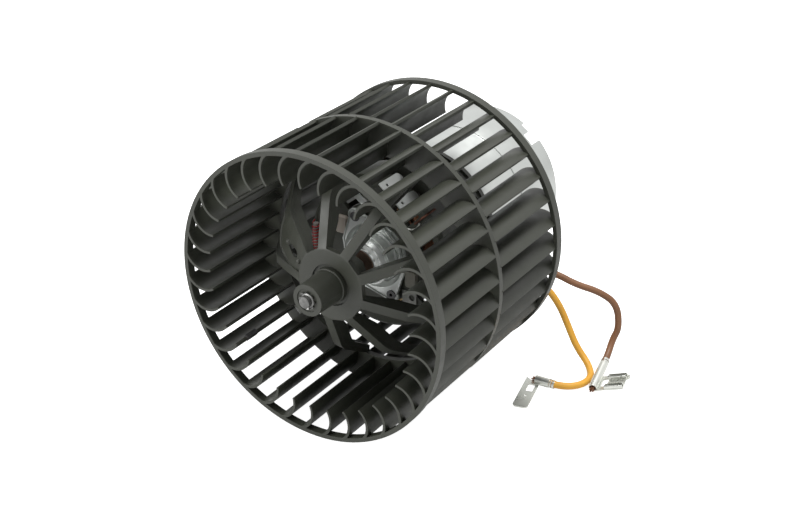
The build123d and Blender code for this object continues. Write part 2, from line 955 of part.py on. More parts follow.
def grommet():
    """Rubber grommet with a flange on each side of the can's wall."""
    inside = can_radius - 3 * can_wall
    body = extrude(grommet_plane(inside) * grommet_section(0), can_radius + grommet_standout - inside)
    flange = grommet_plane(can_radius - can_wall) * grommet_section(grommet_flange)
    flange = extrude(flange, can_wall + grommet_standout * 0.6)
    flange -= tube(can_radius - seat_relief + 0.05, 1, can_front, can_rear)
    return body + flange


def lead_route(side, route, mouth, way_in):
    """The chosen points between a straight stretch at the grommet and one at the terminal."""
    start = lead_exit(side)
    way_out = grommet_plane(can_radius).z_dir
    end = Vector(*mouth)
    points = [Vector(*point) for point in route]
    return [start, start + way_out * lead_straight] + points + [end - way_in * lead_straight * 0.8, end]


def lead(route, name):
    """A lead as straight runs joined by tangent arcs, each as large as its two runs allow."""
    points = route
    runs = [after - before for before, after in zip(points, points[1:])]
    radii = []
    for before, after in zip(runs, runs[1:]):
        turn = radians(before.get_angle(after))
        radii.append(0.45 * min(before.length, after.length) / tan(turn / 2))
    path = FilletPolyline(*points, radius=radii)
    wire = Plane(path @ 0, z_dir=path % 0) * Circle(lead_radius)
    solid = sweep(wire, path)
    expected = pi * lead_radius**2 * path.length
    print(name, "radii", [round(radius) for radius in radii], "length", round(path.length), "volume share",
          round(solid.volume / expected, 4))
    return solid


def orange_way():
    return Vector(cos(radians(orange_barrel_angle)), sin(radians(orange_barrel_angle)), 0)


def barrel(length, bore):
    """Crimped barrel along +X, open at both ends."""
    outer = bore + barrel_wall
    section = Circle(outer) - Circle(bore)
    return extrude(Plane.YZ * section, length)


def crimp(length):
    """Barrel flattened underneath, round the lead's end."""
    grip = Pos(-barrel_setback, 0, 0) * barrel(length, lead_radius + 0.02)
    return grip - Pos(0, 0, -lead_radius - length) * Box(4 * length, 4 * length, 2 * length)


def orange_terminal():
    """Flat blade with a window, a dimple and a slanting foot, askew to its barrel."""
    start, end = orange_blade_start, orange_blade_start + orange_blade_width
    near, far = orange_blade_foot
    tip = orange_blade_tip
    blade = make_face(Polyline((start, near), (end, far), (end, tip), (start, tip), close=True))
    blade = chamfer(blade.vertices().group_by(Axis.Y)[-1], orange_tip_chamfer)
    blade -= Pos(*orange_window_place) * Rectangle(*orange_window)
    blade -= Pos(*orange_dimple_place) * Circle(orange_dimple_radius)
    foot = Pos((start + end) / 4, 0) * Rectangle((start + end) / 2, 2 * lead_radius)
    flat = extrude(Rot(0, 0, orange_blade_skew) * blade + foot, terminal_thickness)
    grip = crimp(orange_barrel_length)
    frame = Plane(origin=Vector(*orange_mouth), x_dir=orange_way(), z_dir=(0, 0, 1))
    return frame * (Pos(0, 0, -lead_radius) * flat + grip)


def brown_way():
    return Vector(*brown_barrel_way).normalized()


def brown_terminal():
    """Receptacle with rolled edges, across its barrel and raised at its far end."""
    reach = brown_barrel_length
    start = reach - brown_flag_width
    middle = reach - brown_flag_width / 2
    foot, length = brown_flag_foot, brown_flag_length
    roll = brown_roll_radius
    floor = Pos(middle, (length - foot) / 2) * Rectangle(brown_flag_width, length + foot)
    floor += Pos(start + brown_lug_radius, length) * Circle(brown_lug_radius)
    floor -= Pos(middle, brown_window_height) * Rectangle(*brown_window)
    low = -lead_radius
    flat = Pos(0, 0, low) * extrude(floor, terminal_thickness)
    curl = Circle(roll) - Circle(roll - terminal_thickness) - Pos(0, roll) * Rectangle(roll * 0.7, 2 * roll)
    rolls = []
    for edge in (start + roll, reach - roll):
        rolls.append(Pos(edge, length, low + roll) * extrude(Plane.XZ * curl, length * brown_roll_share))
    side = Vector(*brown_flag_way)
    up = brown_way().cross(side).normalized()
    frame = Plane(origin=Vector(*brown_mouth), x_dir=brown_way(), z_dir=up)
    return frame * (flat + rolls + crimp(reach))


# Writing
os.makedirs("parts", exist_ok=True)
write("impeller", impeller())
write("balance_clip", balance_clip())
write("shaft", shaft())
write("hub_clip", hub_clip())
write("front_thrust_washer", thrust_washer(front_washer_front))
write("rear_thrust_washer", thrust_washer(rear_washer_front))
write("rear_spacer", rear_spacer())
write("front_bearing", bush(bush_radius, bush_front, bush_rear))
write("front_bearing_cap", bearing_cap())
front_retainer_radius = cap_step_radius - cap_wall - fit_clearance
write("front_bearing_retainer", bearing_retainer(bush_radius, front_retainer_radius, bush_rear))
write("oil_felt", oil_felt())
write("bearing_clamp", bearing_clamp())
write("clamp_eyelets", clamp_eyelets())
write("front_housing", front_housing())
write("motor_can", motor_can())
write("rear_cover", rear_cover())
write("rear_bearing", bush(rear_bush_radius, rear_bush_front, rear_bush_rear))
retained_radius = rear_bush_radius + 1.2
rear_retainer_front = cover_front - retainer_thickness
write("rear_bearing_retainer", bearing_retainer(retained_radius, rear_retainer_radius, rear_retainer_front))
write("magnet_upper", around(magnet(), 90))
write("magnet_lower", around(magnet(), 270))
write("magnet_clips", magnet_clips())
write("armature_core", armature_core())
write("armature_windings", armature_windings())
write("commutator_bars", commutator_bars())
write("commutator_core", commutator_core())
for side, place in ((1, "upper"), (-1, "lower")):
    write(f"brush_{place}", brush(side))
    write(f"brush_holder_{place}", brush_holder(side))
    write(f"brush_spring_{place}", brush_spring(side))
write("choke_core", choke_core())
write("choke_coil", choke_coil())
for place, name in zip(block_places, ("left", "right")):
    write(f"insulator_block_{name}", face_block(place))
for place, name in zip(tab_places, ("left", "right")):
    write(f"spade_tab_{name}", spade_tab(place))
write("bus_strip", bus_strip())
write("earth_tag", earth_tag())
write("lead_grommet", grommet())
write("orange_lead", lead(lead_route(-1, orange_route, orange_mouth, orange_way()), "orange lead"))
write("brown_lead", lead(lead_route(1, brown_route, brown_mouth, brown_way()), "brown lead"))
write("orange_terminal", orange_terminal())
write("brown_terminal", brown_terminal())
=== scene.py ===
import json
from functools import partial
from math import atan2, cos, degrees, hypot, pi, radians, sin

import bmesh
import bpy
from bpy.props import FloatProperty, FloatVectorProperty, IntProperty, PointerProperty
from mathutils import Matrix, Vector


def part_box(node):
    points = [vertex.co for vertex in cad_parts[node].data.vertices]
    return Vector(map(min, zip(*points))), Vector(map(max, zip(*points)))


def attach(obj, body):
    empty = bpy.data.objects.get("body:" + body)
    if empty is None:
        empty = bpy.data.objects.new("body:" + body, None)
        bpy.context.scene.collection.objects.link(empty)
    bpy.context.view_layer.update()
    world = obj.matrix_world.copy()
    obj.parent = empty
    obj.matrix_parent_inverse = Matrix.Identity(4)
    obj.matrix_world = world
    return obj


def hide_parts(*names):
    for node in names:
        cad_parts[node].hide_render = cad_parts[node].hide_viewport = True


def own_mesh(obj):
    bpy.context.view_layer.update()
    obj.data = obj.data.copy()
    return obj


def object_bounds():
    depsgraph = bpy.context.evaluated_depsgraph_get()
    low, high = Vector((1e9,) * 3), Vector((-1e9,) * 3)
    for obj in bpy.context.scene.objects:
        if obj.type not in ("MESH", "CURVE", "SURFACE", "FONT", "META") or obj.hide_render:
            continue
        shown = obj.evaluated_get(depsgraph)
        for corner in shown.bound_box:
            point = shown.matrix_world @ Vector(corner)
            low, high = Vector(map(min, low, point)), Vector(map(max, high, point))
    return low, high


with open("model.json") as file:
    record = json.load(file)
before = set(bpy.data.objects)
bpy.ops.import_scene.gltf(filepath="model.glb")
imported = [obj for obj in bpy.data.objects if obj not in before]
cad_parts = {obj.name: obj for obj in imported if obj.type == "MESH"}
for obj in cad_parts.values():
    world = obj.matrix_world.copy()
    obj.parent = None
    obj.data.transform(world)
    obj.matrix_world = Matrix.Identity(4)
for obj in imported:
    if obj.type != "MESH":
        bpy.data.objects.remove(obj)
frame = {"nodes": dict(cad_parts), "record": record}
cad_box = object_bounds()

bl_info = {
    "name": "Cabin Blower Dressing",
    "version": (1, 0, 0),
    "blender": (4, 5, 0),
    "location": "View3D > Sidebar > Blower",
    "description": "Finishes, small pieces, leads and studio for a car cabin blower motor",
    "category": "Object",
}

# The scene is in metres, in the frame of the loaded model: +Y runs along the shaft to the rear.
# Small pieces are drawn by radius, angle from +X towards +Z, and station, which is counted along the shaft
# from the front ring's face, SEAT in front of the origin. Their sizes are in millimetres and degrees, and
# those with MM beside them are in metres already.
MM = 0.001
SEAT = 146.0
SLOT_OF = {part["node"]: part["material_slot"] for part in frame["record"]["subparts"]}
COLOUR_OF = {slot["slot"]: tuple(slot["base_color"]) for slot in frame["record"]["materials"]}
FINISHES = {}
SHARP_ANGLE = radians(35)
WHITE = (1, 1, 1, 1)

# Colours of single pieces that differ from their slot's
CORE_COLOUR = (0.30, 0.27, 0.25)
DULL_BLOCK_COLOUR = (0.27, 0.26, 0.22)
TARNISHED_COLOUR = (0.10, 0.05, 0.035)

# Place of the camera, in metres, and its directions
CAMERA_PLACE = Vector((0.3481, -0.5957, 0.3177))
CAMERA_RIGHT = Vector((0.8364, 0.548, 0))
CAMERA_AHEAD = Vector((-0.4853, 0.7405, -0.4649)).normalized()

# Place and diameter of each lamp, and the point that both are turned to, in metres
KEY_LAMP = ((0.1, -0.05, 1.4), 0.8)
FILL_LAMP = ((-0.75, -1.15, 0.35), 0.6)
LAMP_TARGET = Vector((0, -0.06, 0))

# The floor lies just under the model; it glows for the camera and less so in reflections
FLOOR_LEVEL = cad_box[0].z - 0.2 * MM
FLOOR_RADIUS = 4.0
FLOOR_COLOUR = (0.82, 0.82, 0.82, 1)
FLOOR_GLOW = 0.95
FLOOR_GLOW_MIRRORED = 0.25

# Front of the spider's dished web: radius and station
DISH = [
    (17.5, 20.1), (23.0, 22.1), (28.0, 24.6), (33.5, 27.4), (39.1, 30.2), (41.0, 31.3), (42.6, 32.7),
    (44.1, 34.2), (45.4, 36.0), (50.0, 43.3), (54.0, 49.7), (57.6, 55.4),
]
SPOKE_ANGLES = [-16.4 + 40 * index for index in range(9)]

# Spoke ribs: distances of the two sides from the spoke's middle, where they start and how far they reach at
# least behind the web's front, share of the full depth at the hub, length over which a full depth is gained,
# and the station that no rib passes
RIB_SIDES = ((2.55, 1.5), (-2.55, -1.5))
RIB_START, RIB_LEAST = 0.4, 1.0
RIB_HUB_SHARE = 0.45
RIB_GROWTH = 18
RIB_LAST_STATION = 58.0

# Web panel: first angle and span, inner radius, outer radius at angles from the first to the last, how far it
# lies behind the web's front, and its thickness
PANEL_START, PANEL_SPAN = 146, 33
PANEL_INNER = 16.5
PANEL_RIM = [(146, 44.0), (153, 42.0), (161, 40.2), (170, 38.0), (175, 33.0), (179, 26.0)]
PANEL_DEPTH = 0.7
PANEL_THICKNESS = 1.1 * MM

# Its rim: how far the middle lies behind the web's front, which is where the studs stand too, and half its
# width and height
RIM_DEPTH = 0.9
RIM_WIDTH, RIM_HEIGHT = 0.7, 0.9

# Its slot: radius and angle of the middle, and half its length and width
SLOT_RADIUS, SLOT_ANGLE = 27.1, 159.8
SLOT_LENGTH, SLOT_WIDTH = 3.9, 2.1

# Its studs: radius, angle and size, then the outline of both, as shares of the size in width and height
PANEL_STUDS = ((32.8, 158.8, 1.5), (21.3, 162.7, 1.6))
STUD_OUTLINE = ((1.0, 0.0), (0.9, 0.5), (0.65, 0.85), (0.25, 1.0))

# Star clip: radius and station round the section of its ring
CLIP_SECTION = ((3.05, 1.2), (3.7, 1.55), (3.7, 1.97), (3.05, 1.65))

# Its petals: their number, the radii of root and tip, how much the tip is rounded at each step from its
# middle, and the front and rear stations of both
PETALS = 8
PETAL_ROOT, PETAL_TIP = 3.65, 4.75
PETAL_ROUNDING = 0.12
ROOT_FRONT, ROOT_REAR = 1.55, 1.97
TIP_FRONT, TIP_REAR = 1.0, 1.4

# Choke: gap between core and wire, bare core below and above the winding, angle at which the wire starts, and
# where its two ends go from the winding's ends
CHOKE_GAP = 0.05 * MM
CHOKE_BARE_BELOW, CHOKE_BARE_ABOVE = 1.8 * MM, 0.4 * MM
CHOKE_START = 200
CHOKE_TAIL_BELOW = Vector((-1, 3.1, -0.6)) * MM
CHOKE_TAIL_ABOVE = Vector((-3, 3.1, 0.3)) * MM

# Bearing clamp: place and radius of its round ears, corners between them, and the angle it is turned by
EAR_PLACE, EAR_RADIUS = 22.8, 3.2
CLAMP_CORNER = (13.5, 13.0)
CLAMP_WAIST = 17.8
CLAMP_ANGLE = 60.5

# Section of its lip: distance from the outline and station
LIP_SECTION = ((-0.3, 57.1), (-0.3, 56.4), (0.35, 56.2), (0.35, 57.1))

# Hook of bare wire on the face: points of its middle line, as x and z, their station, and its radius
HOOK = [(16.5, 18.4), (19.4, 18.3), (22.4, 19.3), (24.4, 21.3), (24.9, 23.2)]
HOOK_STATION = 60.72
HOOK_RADIUS = 0.45 * MM

# Braid of three strands beside it: points of its middle line, as x, station and z, the distance of each
# strand from that line, and the strand's radius
BRAID = [(22.6, 60.3, 22.4), (25.4, 60.2, 25.2), (28.4, 60.6, 28.2), (29.9, 62.6, 29.7), (30.1, 66.5, 29.9)]
BRAID_OFFSET = 0.4
BRAID_RADIUS = 0.42 * MM

# Brush springs: radius of the wire, turns in all, closed turns at each end, and steps in a turn
SPRING_WIRE = 0.34 * MM
SPRING_TURNS = 6
SPRING_CLOSED = 0.8
SPRING_STEPS = 24

# Points of the leads, from the grommet to the terminals, in metres
ORANGE_ROUTE = [
    (0.040805, -0.0208, -0.019902),
    (0.048894, -0.0208, -0.023847),
    (0.062, -0.0167, -0.0327),
    (0.0687, -0.0138, -0.043),
    (0.0744, -0.0134, -0.0545),
    (0.08, -0.0143, -0.0642),
    (0.0894, -0.017, -0.0713),
    (0.0952, -0.0252, -0.073),
    (0.0939, -0.0353, -0.073),
    (0.085982, -0.041698, -0.07315),
    (0.0788, -0.0422, -0.07315),
]
BROWN_ROUTE = [
    (0.040805, -0.0162, -0.019902),
    (0.048894, -0.0162, -0.023847),
    (0.0636, -0.0109, -0.0262),
    (0.0742, -0.0079, -0.0311),
    (0.0858, -0.0025, -0.0346),
    (0.0949, 0.001, -0.041),
    (0.0982, -0.0012, -0.0534),
    (0.096, -0.0037, -0.0602),
    (0.096999, -0.010582, -0.066172),
    (0.098, -0.0175, -0.0679),
]

# Which way each terminal points from its lead's end, which way its claws open, and how far its barrel reaches
ORANGE_WAY = Vector((cos(radians(184)), sin(radians(184)), 0))
ORANGE_UP = Vector((0, 0, 1))
ORANGE_BARREL = 7.4
BROWN_WAY = Vector((0.139, -0.961, -0.24)).normalized()
BROWN_UP = BROWN_WAY.cross(Vector((0.93, 0.02, 0.37))).normalized()
BROWN_BARREL = 18.3

# Claws: where each pair starts and how wide it is, their inner and outer radius, the depth below which they
# are flat, the angle that they go round, and the steps in it
CLAWS = ((-3.4, 1.3), (-1.7, 1.0))
CLAW_INNER, CLAW_OUTER = 1.9, 2.3
CLAW_FLOOR = -1.83
CLAW_SPAN = 330
CLAW_STEPS = 18

# Strands: places along the barrel's end where they start, bend and stop, how unevenly they stop, the distance
# of the outer six from the middle one, their radius, and how much they fan out in a millimetre
STRAND_START, STRAND_BEND, STRAND_STOP = -1.5, 0.6, 1.7
STRAND_STAGGER = 0.3
STRAND_OFFSET = 0.85
STRAND_RADIUS = 0.4
STRAND_FAN = 0.12


def colour_property(what, default):
    """A colour setting of one finish."""
    return FloatVectorProperty(
        name=what, description=f"Base colour of the {what.lower()}",
        default=default, size=3, min=0.0, max=1.0, subtype="COLOR",
    )


class BlowerColours(bpy.types.PropertyGroup):
    """Base colours of the finishes."""

    black_plastic: colour_property("Black plastic", (0.043, 0.046, 0.035))
    zinc_plate: colour_property("Zinc plating", (0.59, 0.61, 0.59))
    orange_pvc: colour_property("Orange insulation", (1.0, 0.50, 0.06))
    brown_pvc: colour_property("Brown insulation", (0.26, 0.12, 0.055))
    red_lacquer: colour_property("Choke lacquer", (0.36, 0.012, 0.012))


class BlowerSizes(bpy.types.PropertyGroup):
    """Sizes of what is modelled here."""

    edge_rounding: FloatProperty(
        name="Edge rounding", description="Width of the rounding on the edges of the can and its cover",
        default=0.25 * MM, min=0.0, max=1 * MM, unit="LENGTH", subtype="DISTANCE", precision=5,
    )
    lead_diameter: FloatProperty(
        name="Lead diameter", description="Outer diameter of both leads",
        default=3.7 * MM, min=1 * MM, max=8 * MM, unit="LENGTH", subtype="DISTANCE", precision=4,
    )
    rib_depth: FloatProperty(
        name="Spoke rib depth", description="How far the ribs stand behind the spokes",
        default=8 * MM, min=0.0, max=12 * MM, unit="LENGTH", subtype="DISTANCE", precision=4,
    )
    choke_turns: IntProperty(
        name="Choke turns", description="Turns of wire on the choke", default=8, min=3, max=14,
    )
    choke_wire: FloatProperty(
        name="Choke wire", description="Diameter of the choke's lacquered wire",
        default=0.7 * MM, min=0.2 * MM, max=1 * MM, unit="LENGTH", subtype="DISTANCE", precision=5,
    )


class BlowerStage(bpy.types.PropertyGroup):
    """Studio settings."""

    lens: FloatProperty(
        name="Lens", description="Focal length of the camera, in millimetres",
        default=61.95, min=10.0, max=300.0, subtype="DISTANCE_CAMERA",
    )
    key_power: FloatProperty(
        name="Key lamp", description="Power of the large lamp overhead",
        default=18.0, min=0.0, max=100.0, unit="POWER",
    )
    fill_power: FloatProperty(
        name="Fill lamp", description="Power of the lamp to the front left",
        default=7.0, min=0.0, max=100.0, unit="POWER",
    )
    sky: FloatProperty(
        name="Sky", description="Strength of the even light from all sides",
        default=0.3, min=0.0, max=2.0, subtype="FACTOR",
    )


# Node helpers
def add(tree, kind, settings=None, **inputs):
    """A node of that kind, with its settings and inputs; an input is a value or another node's output."""
    made = tree.nodes.new(kind)
    for key, value in (settings or {}).items():
        setattr(made, key, value)
    for key, value in inputs.items():
        socket = made.inputs[key.replace("_", " ")]
        if isinstance(value, bpy.types.NodeSocket):
            tree.links.new(value, socket)
        else:
            socket.default_value = value
    return made


def shader_tree(name):
    """A new material and its empty node tree."""
    material = bpy.data.materials.new("finish_" + name)
    material.use_nodes = True
    material.node_tree.nodes.clear()
    return material, material.node_tree


def place(tree, stretch=(1, 1, 1)):
    """Object coordinates, stretched along the axes."""
    here = add(tree, "ShaderNodeTexCoord")
    mapping = add(tree, "ShaderNodeMapping", Vector=here.outputs["Object"])
    mapping.inputs["Scale"].default_value = stretch
    return mapping.outputs["Vector"]


def noise(tree, where, scale, detail=4.0, rough=0.5):
    """Cloudy variation."""
    made = add(tree, "ShaderNodeTexNoise", Vector=where, Scale=scale, Detail=detail, Roughness=rough)
    return made.outputs["Fac"]


def spread(tree, factor, low, high, start=0.3, end=0.7):
    """The factor's middle range, mapped to a range of values."""
    made = add(tree, "ShaderNodeMapRange")
    tree.links.new(factor, made.inputs["Value"])
    for key, value in (("From Min", start), ("From Max", end), ("To Min", low), ("To Max", high)):
        made.inputs[key].default_value = value
    return made.outputs["Result"]


def tones(tree, factor, dark, light, start=0.3, end=0.7):
    """A ramp from one colour to another."""
    made = add(tree, "ShaderNodeValToRGB", Fac=factor)
    made.color_ramp.elements[0].position = start
    made.color_ramp.elements[0].color = (*dark, 1)
    made.color_ramp.elements[1].position = end
    made.color_ramp.elements[1].color = (*light, 1)
    return made.outputs["Color"]


def shade(colour, factor):
    """The colour, darker or lighter by a factor."""
    return tuple(min(1.0, part * factor) for part in colour)


def bump(tree, height, distance, edge=0.0):
    """Small relief, on edges that are shaded as if rounded by that radius."""
    made = add(tree, "ShaderNodeBump", Height=height, Distance=distance)
    if edge:
        soft = add(tree, "ShaderNodeBevel", {"samples": 4}, Radius=edge)
        tree.links.new(soft.outputs["Normal"], made.inputs["Normal"])
    return made.outputs["Normal"]


def wave(tree, where, scale, settings, distortion, detail):
    """Regular marks: bands along one axis or rings about it."""
    made = add(
        tree, "ShaderNodeTexWave", settings, Vector=where, Scale=scale, Distortion=distortion, Detail=detail,
    )
    return made.outputs["Fac"]


def surface(name, material, colours, gloss, normal, **constants):
    """Closes a material with one principled shader; the constants are set on its own sockets."""
    tree = material.node_tree
    shader = add(tree, "ShaderNodeBsdfPrincipled", Base_Color=colours, Roughness=gloss, Normal=normal)
    for key, value in constants.items():
        shader.inputs[key.replace("_", " ")].default_value = value
    add(tree, "ShaderNodeOutputMaterial", Surface=shader.outputs["BSDF"])
    FINISHES[name] = material
    return material


# Finishes, and the ways that regular marks run in them
TURNED = {"wave_type": "RINGS", "rings_direction": "Y"}
STACKED = {"wave_type": "BANDS", "bands_direction": "Y"}
COILED = {"wave_type": "BANDS", "bands_direction": "DIAGONAL"}


def moulded(name, colour, rough=(0.36, 0.5), grain=2400.0, depth=0.02 * MM, mottle=0.1, edge=0.0):
    """Moulded plastic or rubber: fine grain, faint flow marks, uneven gloss and softened edges."""
    material, tree = shader_tree(name)
    where = place(tree)
    flow = noise(tree, place(tree, (1, 0.3, 1)), 38.0, detail=5.0)
    colours = tones(tree, flow, shade(colour, 1 - mottle), shade(colour, 1 + mottle))
    gloss = spread(tree, noise(tree, where, 110.0, detail=6.0, rough=0.6), *rough)
    normal = bump(tree, noise(tree, where, grain, detail=3.0, rough=0.6), depth, edge)
    return surface(name, material, colours, gloss, normal)


def plated(name, colour, rough=(0.28, 0.38), mottle=0.05, waves=0.02 * MM):
    """Plated sheet: slightly cloudy, with soft unevenness that bends its reflections."""
    material, tree = shader_tree(name)
    where = place(tree)
    cloud = noise(tree, where, 42.0, rough=0.55)
    colours = tones(tree, cloud, shade(colour, 1 - mottle), shade(colour, 1 + mottle))
    gloss = spread(tree, noise(tree, where, 160.0, detail=5.0, rough=0.6), *rough)
    normal = bump(tree, noise(tree, where, 110.0, detail=2.0, rough=0.4), waves, edge=0.25 * MM)
    return surface(name, material, colours, gloss, normal, Metallic=1.0)


def tinned(name, colour):
    """Tinned sheet: a little darker and cloudier than plating."""
    return plated(name, shade(colour, 0.95), rough=(0.24, 0.36), mottle=0.1, waves=0.03 * MM)


def drawn(name, colour, rough=(0.26, 0.38)):
    """Deep-drawn and plated: faint rings about the shaft's axis over the plating."""
    material, tree = shader_tree(name)
    where = place(tree)
    rings = wave(tree, where, 200.0, TURNED, distortion=0.1, detail=1.0)
    cloud = noise(tree, where, 60.0, rough=0.55)
    colours = tones(tree, cloud, shade(colour, 0.9), shade(colour, 1.04))
    gloss = spread(tree, rings, *rough, start=0.0, end=1.0)
    normal = bump(tree, rings, 0.003 * MM, edge=0.3 * MM)
    return surface(name, material, colours, gloss, normal, Metallic=1.0)


def sintered(name, colour):
    """Turned, oil-soaked sintered bronze: fine rings and pores."""
    material, tree = shader_tree(name)
    where = place(tree)
    rings = wave(tree, where, 520.0, TURNED, distortion=0.4, detail=2.0)
    colours = tones(tree, rings, shade(colour, 0.25), shade(colour, 0.75), start=0.2, end=0.8)
    pores = noise(tree, where, 3200.0, detail=3.0, rough=0.7)
    gloss = spread(tree, pores, 0.36, 0.58)
    return surface(name, material, colours, gloss, bump(tree, rings, 0.03 * MM), Metallic=0.75)


def ground(name, colour):
    """Ground or faced steel: very fine rings."""
    material, tree = shader_tree(name)
    where = place(tree)
    rings = wave(tree, where, 900.0, TURNED, distortion=2.0, detail=3.0)
    cloud = noise(tree, where, 300.0, rough=0.6)
    colours = tones(tree, cloud, shade(colour, 0.2), shade(colour, 0.42))
    gloss = spread(tree, rings, 0.34, 0.48, start=0.0, end=1.0)
    return surface(name, material, colours, gloss, bump(tree, rings, 0.003 * MM), Metallic=1.0)


def wound(name, colour):
    """Enamelled wire laid side by side."""
    material, tree = shader_tree(name)
    where = place(tree)
    wires = wave(tree, where, 900.0, COILED, distortion=3.0, detail=2.0)
    colours = tones(tree, wires, shade(colour, 0.4), shade(colour, 1.15), start=0.1)
    gloss = spread(tree, noise(tree, where, 700.0), 0.25, 0.4)
    return surface(name, material, colours, gloss, bump(tree, wires, 0.12 * MM), Metallic=0.6)


def laminated(name, colour):
    """Stacked sheets seen on edge."""
    material, tree = shader_tree(name)
    where = place(tree)
    sheets = wave(tree, where, 480.0, STACKED, distortion=0.2, detail=1.0)
    colours = tones(tree, sheets, shade(colour, 0.6), shade(colour, 1.1), start=0.1, end=0.6)
    gloss = spread(tree, noise(tree, where, 260.0), 0.35, 0.55)
    return surface(name, material, colours, gloss, bump(tree, sheets, 0.04 * MM), Metallic=0.85)


def fibrous(name, colour):
    """Oiled felt: short fibres and an uneven soak."""
    material, tree = shader_tree(name)
    where = place(tree)
    fibres = noise(tree, where, 1400.0, detail=6.0, rough=0.75)
    colours = tones(tree, fibres, shade(colour, 0.6), shade(colour, 1.15))
    gloss = spread(tree, noise(tree, where, 120.0), 0.7, 0.95)
    return surface(name, material, colours, gloss, bump(tree, fibres, 0.2 * MM), Sheen_Weight=0.3)


def insulated(name, colour, rough=(0.42, 0.55)):
    """Extruded wire insulation or lacquer: smooth, with a faint wavy skin."""
    material, tree = shader_tree(name)
    where = place(tree)
    colours = tones(tree, noise(tree, where, 80.0), shade(colour, 0.84), shade(colour, 1.06))
    gloss = spread(tree, noise(tree, where, 260.0), *rough)
    normal = bump(tree, noise(tree, where, 420.0, detail=3.0), 0.04 * MM)
    return surface(name, material, colours, gloss, normal)


# Finish of every material slot
FINISH_OF = {
    "black_plastic": partial(moulded, edge=0.3 * MM),
    "black_rubber": partial(moulded, rough=(0.55, 0.75), grain=1500.0, depth=0.03 * MM),
    "beige_plastic": partial(moulded, rough=(0.45, 0.6), edge=0.4 * MM),
    "brown_laminate": partial(moulded, rough=(0.4, 0.6), grain=900.0, depth=0.04 * MM, mottle=0.3),
    "carbon": partial(moulded, rough=(0.45, 0.7), grain=3500.0, depth=0.04 * MM, mottle=0.3),
    "ferrite": partial(moulded, rough=(0.4, 0.65), grain=2800.0, depth=0.04 * MM, mottle=0.2),
    "felt": fibrous,
    "orange_pvc": insulated,
    "brown_pvc": insulated,
    "red_lacquer": partial(insulated, rough=(0.2, 0.35)),
    "bright_steel": ground,
    "bronze": sintered,
    "copper": wound,
    "lamination_steel": laminated,
    "zinc_plate": plated,
    "tinned_brass": tinned,
    "brass": partial(plated, rough=(0.25, 0.4)),
    "spring_steel": partial(plated, rough=(0.25, 0.4)),
    "dark_steel": partial(plated, rough=(0.35, 0.5)),
}


def colour_of(slot, colours):
    """A slot's colour: its setting where it has one, or else what the record says."""
    return tuple(getattr(colours, slot)) if hasattr(colours, slot) else COLOUR_OF[slot]


def dress(name, material):
    """Gives a node of the model its finish."""
    piece = frame["nodes"][name]
    piece.data.materials.clear()
    piece.data.materials.append(material)


def break_edges(piece, width):
    """Rounds a hard part's edges a little, as real ones are."""
    weld = piece.modifiers.new("weld", "WELD")
    weld.merge_threshold = 0.01 * MM
    bevel = piece.modifiers.new("bevel", "BEVEL")
    bevel.width = width
    bevel.segments = 2
    bevel.limit_method = "ANGLE"
    bevel.angle_limit = SHARP_ANGLE


